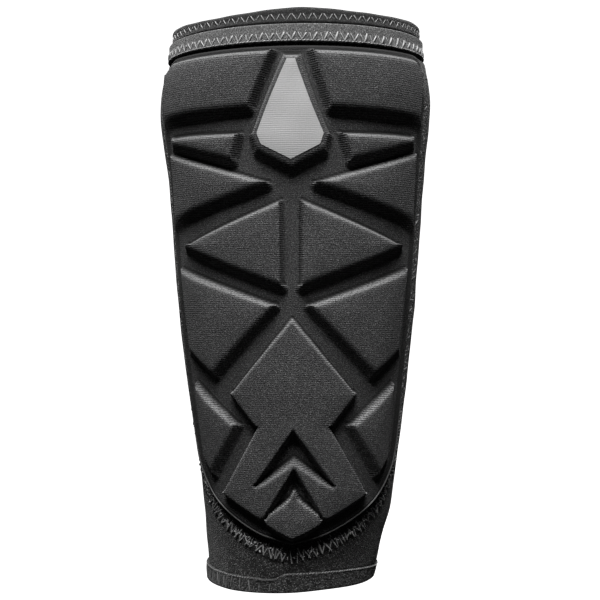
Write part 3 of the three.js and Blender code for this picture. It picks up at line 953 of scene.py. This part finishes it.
def make_film():
    edge = film_right_edge()
    edge[-1, 0] = 0
    return closed_slab("printed_film", edge, 30, 0.3,
                       lambda across, height: pad_rise(across, height) + FILM_LIFT + FILM_THICKNESS,
                       lambda across, height: pad_rise(across, height) + FILM_LIFT, 1)


# Shader groups that several finishes share

def repeats(tree, cloth, across, along):
    """The cloth's own coordinates, in metres, counted in repeats of two pitches in millimetres.

    They come as a vector and as its two parts.
    """
    parts = node(tree, "ShaderNodeSeparateXYZ", {0: cloth}).outputs
    x, y = (maths(tree, "DIVIDE", parts[axis], maths(tree, "MULTIPLY", pitch, MM))
            for axis, pitch in (("X", across), ("Y", along)))
    return node(tree, "ShaderNodeCombineXYZ", {"X": x, "Y": y}).outputs[0], x, y


def cells(tree, place):
    """Packed cells, one to a repeat: the distance from each one's middle, and its own random numbers."""
    made = node(tree, "ShaderNodeTexVoronoi", {"Vector": place, "Scale": 1},
                voronoi_dimensions="2D", feature="F1")
    own = node(tree, "ShaderNodeSeparateColor", {0: made.outputs["Color"]})
    return made.outputs["Distance"], own.outputs


def knit_group():
    """Fine knitted ribs across the cloth: a height and a shade that wander a little."""
    tree, given, result = new_tree(
        "ShaderNodeTree", "knitted ribs",
        {"Cloth": "Vector", "Rib Pitch": 0.95, "Loop Pitch": 0.8, "Wander": 0.25},
        {"Height": "Float", "Rib": "Float"})
    place, x, y = repeats(tree, given["Cloth"], given["Loop Pitch"], given["Rib Pitch"])
    drift = node(tree, "ShaderNodeTexNoise", {"Vector": place, "Scale": 0.35, "Detail": 3},
                 noise_dimensions="2D")
    row = maths(tree, "ADD", y, maths(tree, "MULTIPLY", drift.outputs[0], given["Wander"]))
    rib, loop = (maths(tree, "SINE", maths(tree, "MULTIPLY", at, 2 * math.pi)) for at in (row, x))
    both = maths(tree, "ADD", rib, maths(tree, "MULTIPLY", loop, 0.3))
    tree.links.new(maths(tree, "MULTIPLY_ADD", both, 0.38, 0.5), result["Height"])
    tree.links.new(maths(tree, "MULTIPLY_ADD", rib, 0.5, 0.5), result["Rib"])
    return tree


def fleck_group():
    """Pale and dark fibres in a yarn: an even mottle round 0.5, and scattered bright ends from 0 to 1."""
    tree, given, result = new_tree(
        "ShaderNodeTree", "melange flecks",
        {"Cloth": "Vector", "Fleck Size": 0.7, "Stretch": 1.0, "Rarity": 0.62},
        {"Fleck": "Float", "Bright": "Float"})
    along = maths(tree, "MULTIPLY", given["Fleck Size"], given["Stretch"])
    place = repeats(tree, given["Cloth"], given["Fleck Size"], along)[0]
    fibres = node(tree, "ShaderNodeTexNoise", {
        "Vector": place, "Scale": 1, "Detail": 2, "Roughness": 0.7}, noise_dimensions="2D")
    distance, own = cells(tree, place)
    chosen = maths(tree, "GREATER_THAN", own[0], given["Rarity"])
    spot = maths(tree, "MULTIPLY_ADD", distance, -2.2, 1.0, clamp=True)
    lit = maths(tree, "MULTIPLY", maths(tree, "MULTIPLY", chosen, spot), own[1])
    tree.links.new(fibres.outputs[0], result["Fleck"])
    tree.links.new(lit, result["Bright"])
    return tree


def loop_group():
    """Small terry loops packed side by side: a height and each loop's own shade."""
    tree, given, result = new_tree(
        "ShaderNodeTree", "terry loops", {"Cloth": "Vector", "Loop Size": 0.9},
        {"Height": "Float", "Shade": "Float"})
    distance, own = cells(tree, repeats(tree, given["Cloth"], given["Loop Size"], given["Loop Size"])[0])
    tree.links.new(maths(tree, "SUBTRACT", 1.0, distance), result["Height"])
    tree.links.new(own[0], result["Shade"])
    return tree


# Finishes

def new_finish(name, roughness, sheen=0.0, specular=0.25):
    """A material, its tree and its shader's inputs."""
    material = bpy.data.materials.new(name)
    material.use_nodes = True
    tree = material.node_tree
    tree.nodes.clear()
    shader = node(tree, "ShaderNodeBsdfPrincipled", {
        "Roughness": roughness, "Specular IOR Level": specular,
        "Sheen Weight": sheen, "Sheen Roughness": 0.45})
    node(tree, "ShaderNodeOutputMaterial", {"Surface": shader.outputs[0]})
    return material, tree, shader.inputs


def placed(tree, shared, given):
    """A shared group laid on the piece's own cloth coordinates, with its own values."""
    cloth = node(tree, "ShaderNodeUVMap", uv_map="cloth").outputs[0]
    return node(tree, "ShaderNodeGroup", {"Cloth": cloth, **given}, node_tree=shared).outputs


def grey(value):
    return value, value, value, 1


def mixed(tree, low, high, amount):
    """A colour between two, each a colour or a socket."""
    made = node(tree, "ShaderNodeMix", {"A": low, "B": high, "Factor": amount}, data_type="RGBA")
    return made.outputs["Result"]


def dress(tree, shader, colour, height, depth):
    """Gives the shader its colour, and relief as a height from 0 to 1 and a depth in millimetres."""
    bump = node(tree, "ShaderNodeBump", {"Distance": depth * MM, "Height": height})
    tree.links.new(colour, shader["Base Color"])
    tree.links.new(bump.outputs[0], shader["Normal"])


def mask(tree, name):
    return node(tree, "ShaderNodeAttribute", attribute_name=name).outputs["Fac"]


def pad_cloth(shared):
    """Knit stretched over foam: ribs show on the slopes, upward crests and slopes carry a painted highlight,
    and the rim, side walls, floors and the strip under the band carry painted shade.
    """
    material, tree, shader = new_finish("charcoal moulded knit", 0.8, sheen=0.06)
    ribs = placed(tree, shared["knit"], RIB_PITCHES)
    flecks = placed(tree, shared["fleck"], {"Fleck Size": 0.5, "Rarity": 0.35})
    show = maths(tree, "MULTIPLY_ADD", mask(tree, "slope"), 0.75, 0.2, clamp=True)
    rib_shade = maths(tree, "MULTIPLY", maths(tree, "SUBTRACT", ribs["Rib"], 0.5), show)
    mottle = maths(tree, "MULTIPLY_ADD", flecks["Fleck"], 2.3, -0.75)
    tone = maths(tree, "MULTIPLY_ADD", rib_shade, 0.55, mottle, clamp=True)
    plain = mixed(tree, (0.006, 0.006, 0.0062, 1), (0.050, 0.050, 0.051, 1), tone)
    # The pale colours are a painted highlight, mixed in on crests and slopes that face up.
    pale = mixed(tree, (0.014, 0.014, 0.0143, 1), (0.165, 0.165, 0.166, 1), tone)
    worn = mixed(tree, plain, pale, mask(tree, "worn"))
    speckled = mixed(tree, worn, grey(0.15), flecks["Bright"])
    # Painted shade: near black on the rim, side walls, feet of lit slopes, floors and under the band.
    colour = mixed(tree, speckled, grey(0.0005), mask(tree, "deep"))
    rib_height = maths(tree, "MULTIPLY", ribs["Height"], show)
    height = maths(tree, "MULTIPLY_ADD", rib_height, 1.15, maths(tree, "MULTIPLY", flecks["Fleck"], 1.1))
    dress(tree, shader, colour, height, 0.25)
    return material


def terry_cloth(shared, name, dark, pale, ends, loop_size):
    """Knit of small loops with scattered bright fibre ends."""
    material, tree, shader = new_finish(name, 0.94, sheen=0.12)
    loops = placed(tree, shared["loop"], {"Loop Size": loop_size})
    flecks = placed(tree, shared["fleck"], {"Fleck Size": 0.5, "Rarity": 0.55})
    base = mixed(tree, grey(dark), grey(pale), maths(tree, "MULTIPLY", loops["Shade"], 0.8))
    colour = mixed(tree, base, grey(ends), flecks["Bright"])
    dress(tree, shader, colour, maths(tree, "ADD", loops["Height"], flecks["Fleck"]), 0.3)
    return material


def melange_cloth(shared, name, dark, pale, ends):
    """Elastic knit of mixed yarns."""
    material, tree, shader = new_finish(name, 0.85, sheen=0.15)
    flecks = placed(tree, shared["fleck"], {"Fleck Size": 0.5, "Stretch": 1.5, "Rarity": 0.6})
    fine = placed(tree, shared["fleck"], {"Fleck Size": 0.24})
    mottle = maths(tree, "ADD", flecks["Fleck"], fine["Fleck"])
    spread = maths(tree, "MULTIPLY_ADD", maths(tree, "SUBTRACT", mottle, 1.0), 1.5, 0.42, clamp=True)
    base = mixed(tree, grey(dark), grey(pale), spread)
    dress(tree, shader, mixed(tree, base, grey(ends), flecks["Bright"]), mottle, 0.2)
    return material


def film_finish(shared):
    """Pale pressed film through which the cloth's ribs show faintly."""
    material, tree, shader = new_finish("pale pressed film", 0.5)
    ribs = placed(tree, shared["knit"], RIB_PITCHES)
    flecks = placed(tree, shared["fleck"], {"Fleck Size": 0.6})
    worn = maths(tree, "MULTIPLY_ADD", ribs["Rib"], 0.2, flecks["Fleck"], clamp=True)
    dress(tree, shader, mixed(tree, grey(0.22), grey(0.31), worn), ribs["Height"], 0.05)
    return material


def thread_finish(name, tone):
    """Twisted sewing thread in one grey, mottled along its length."""
    material, tree, shader = new_finish(name, 0.7, specular=0.5)
    place = node(tree, "ShaderNodeTexCoord").outputs["Object"]
    fibres = node(tree, "ShaderNodeTexNoise", {"Vector": place, "Scale": 1500})
    tree.links.new(mixed(tree, grey(tone * 0.1), grey(tone * 1.9), fibres.outputs[0]), shader["Base Color"])
    return material


def paper_finish():
    """White studio paper that glows evenly, so that no shadow falls across it."""
    material, _, shader = new_finish("white studio paper", 0.9, specular=0.5)
    shader["Base Color"].default_value = grey(0.8)
    shader["Emission Color"].default_value = grey(1)
    shader["Emission Strength"].default_value = 1.0
    return material


# Studio

def make_camera():
    data = bpy.data.cameras.new("camera")
    data.lens = LENS
    data.sensor_width = 36
    camera = bpy.data.objects.new("camera", data)
    turn = math.radians(CAMERA_TURN)
    right = Vector((math.cos(turn), math.sin(turn), 0))
    back = Vector((math.sin(turn), -math.cos(turn), 0))
    camera.location = (back * CAMERA_DISTANCE + right * CAMERA_SIDE_STEP + Vector((0, 0, CAMERA_HEIGHT))) * MM
    camera.rotation_euler = (math.pi / 2, 0, turn)
    bpy.context.scene.collection.objects.link(camera)
    bpy.context.scene.camera = camera


def make_stage():
    """A pale floor that curves up into a round wall. Only the camera sees it, so it casts no light back."""
    floor_z, radius, bend, top = -650, 2400, 700, 2400
    line = [(0.0, floor_z), (radius - bend, floor_z)]
    for angle in np.radians(np.linspace(-90, 0, 13)):
        line.append((radius - bend + bend * math.cos(angle), floor_z + bend + bend * math.sin(angle)))
    line.append((radius, top))
    around = 96
    turns = np.arange(around) * 2 * math.pi / around
    points = [(r * math.sin(turn), -r * math.cos(turn), z) for r, z in line[1:] for turn in turns]
    faces = []
    for row in range(len(line) - 2):
        for i in range(around):
            here = row * around + i
            beside = row * around + (i + 1) % around
            faces.append([here, here + around, beside + around, beside])
    faces.append(list(range(around)))
    backdrop = new_piece("studio_backdrop", points, faces)
    backdrop.data.materials.append(paper_finish())
    backdrop.visible_diffuse = False
    backdrop.visible_glossy = False
    backdrop.visible_shadow = False


def area_light(name, place, aim, size, size_y, power):
    data = bpy.data.lights.new(name, "AREA")
    data.shape = "RECTANGLE"
    data.size = size * MM
    data.size_y = size_y * MM
    data.energy = power
    lamp = bpy.data.objects.new(name, data)
    lamp.location = Vector(place) * MM
    lamp.rotation_euler = (Vector(aim) - Vector(place)).to_track_quat("-Z", "Y").to_euler()
    bpy.context.scene.collection.objects.link(lamp)


def make_lights():
    area_light("overhead softbox", (0, -300, 980), (0, -30, 0), 800, 240, 18)
    area_light("front softbox", (-70, -670, 960), (0, 0, 0), 700, 380, 26)
    area_light("rear softbox", (0, 950, 650), (0, 0, 0), 900, 600, 16)
    world = bpy.data.worlds.new("studio air")
    world.use_nodes = True
    world.node_tree.nodes["Background"].inputs["Color"].default_value = (1, 1, 1, 1)
    world.node_tree.nodes["Background"].inputs["Strength"].default_value = 0.02
    bpy.context.scene.world = world
    bpy.context.scene.view_settings.view_transform = "Standard"


# Assembly

make_camera()
make_stage()
make_lights()

shared = {"knit": knit_group(), "fleck": fleck_group(), "loop": loop_group()}
finishes = {
    "sleeve_knit": terry_cloth(shared, "black terry knit", 0.002, 0.023, 0.27, 0.55),
    "band_elastic": melange_cloth(shared, "grey melange elastic", 0.006, 0.16, 0.3),
    "welt_elastic": melange_cloth(shared, "dark folded knit", 0.002, 0.03, 0.08),
    "hem_knit": terry_cloth(shared, "dark hem knit", 0.003, 0.045, 0.34, 0.8),
    "pad_cloth": pad_cloth(shared),
    "print_film": film_finish(shared),
}
threads = {name: thread_finish(name, tone) for name, tone in THREAD_TONES.items()}
stitches = stitch_tree()

sleeve = make_sleeve()
band = make_band()
welt = make_welt()
hem = make_hem()
pad = make_pad()
film = make_film()
edge_fold = make_edge_fold(threads["fold cloth"])

band_face = SEAM_GAP + BAND_THICKNESS
welt_zigzag = paired_legs(
    "welt_zigzag", stitches, GUARD_LENGTH / 2 - WELT_HEIGHT / 2, 0.45, 2.3, 1, (0.8, 1.1),
    threads["pale thread"], 3, thick=0.36, arch=0.3, uneven=0.1)
band_zigzag = paired_legs(
    "band_zigzag", stitches, BAND_FOOT + 2.3, band_face, 3.1, -1, (0.75, 1.3),
    threads["pale thread"], 5, thick=0.55, arch=0.5, uneven=0.16)
band_edge = edge_dashes(
    "band_edge_stitches", stitches, BAND_FOOT + 0.45, band_face, 1.3,
    threads["pale thread"], 7, length=1.1, thick=0.4, arch=0.3, uneven=0.15)
hem_edge = edge_dashes(
    "hem_edge_stitches", stitches, SLEEVE_FOOT - SEAM_GAP - 0.3, 0.8, 1.2,
    threads["grey thread"], 8, hem_drop, length=0.9, thick=0.28, arch=0.22, uneven=0.25)
hem_marks = side_marks(
    "hem_loop_marks", stitches, threads["hem thread"], 9, length=5.0, thick=0.5, arch=0.3, uneven=0.15)
pad_flatlock = flatlock(
    "pad_flatlock", stitches, 4.8, 1.35, threads["dark thread"], 11, 0.3, 0.17,
    length=5.1, thick=0.52, arch=0.35, uneven=0.14)
edge_stitches = flatlock(
    "pad_edge_stitches", stitches, 4.4, 1.1, threads["speck thread"], 12, 1.3, 0.6,
    length=0.9, thick=0.42, arch=0.35, uneven=0.14)

for piece, slot, cad_node in (
        (sleeve, "sleeve_knit", "sleeve"), (band, "band_elastic", "top_band"),
        (welt, "welt_elastic", "top_welt"), (hem, "hem_knit", "bottom_hem"),
        (pad, "pad_cloth", "pad"), (film, "print_film", "print_panel")):
    piece.data.materials.append(finishes[slot])
    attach(piece, "root")
    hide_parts(cad_node)
for piece, slot in (
        (welt_zigzag, "welt_elastic"), (band_zigzag, "band_elastic"), (band_edge, "band_elastic"),
        (pad_flatlock, "sleeve_knit"), (edge_stitches, "sleeve_knit"), (edge_fold, "pad_cloth"),
        (hem_edge, "hem_knit"), (hem_marks, "hem_knit")):
    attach(piece, "root")

sleeve_girth = (girth_at(SLEEVE_TOP) + girth_at(SLEEVE_FOOT)) / 2 * MM
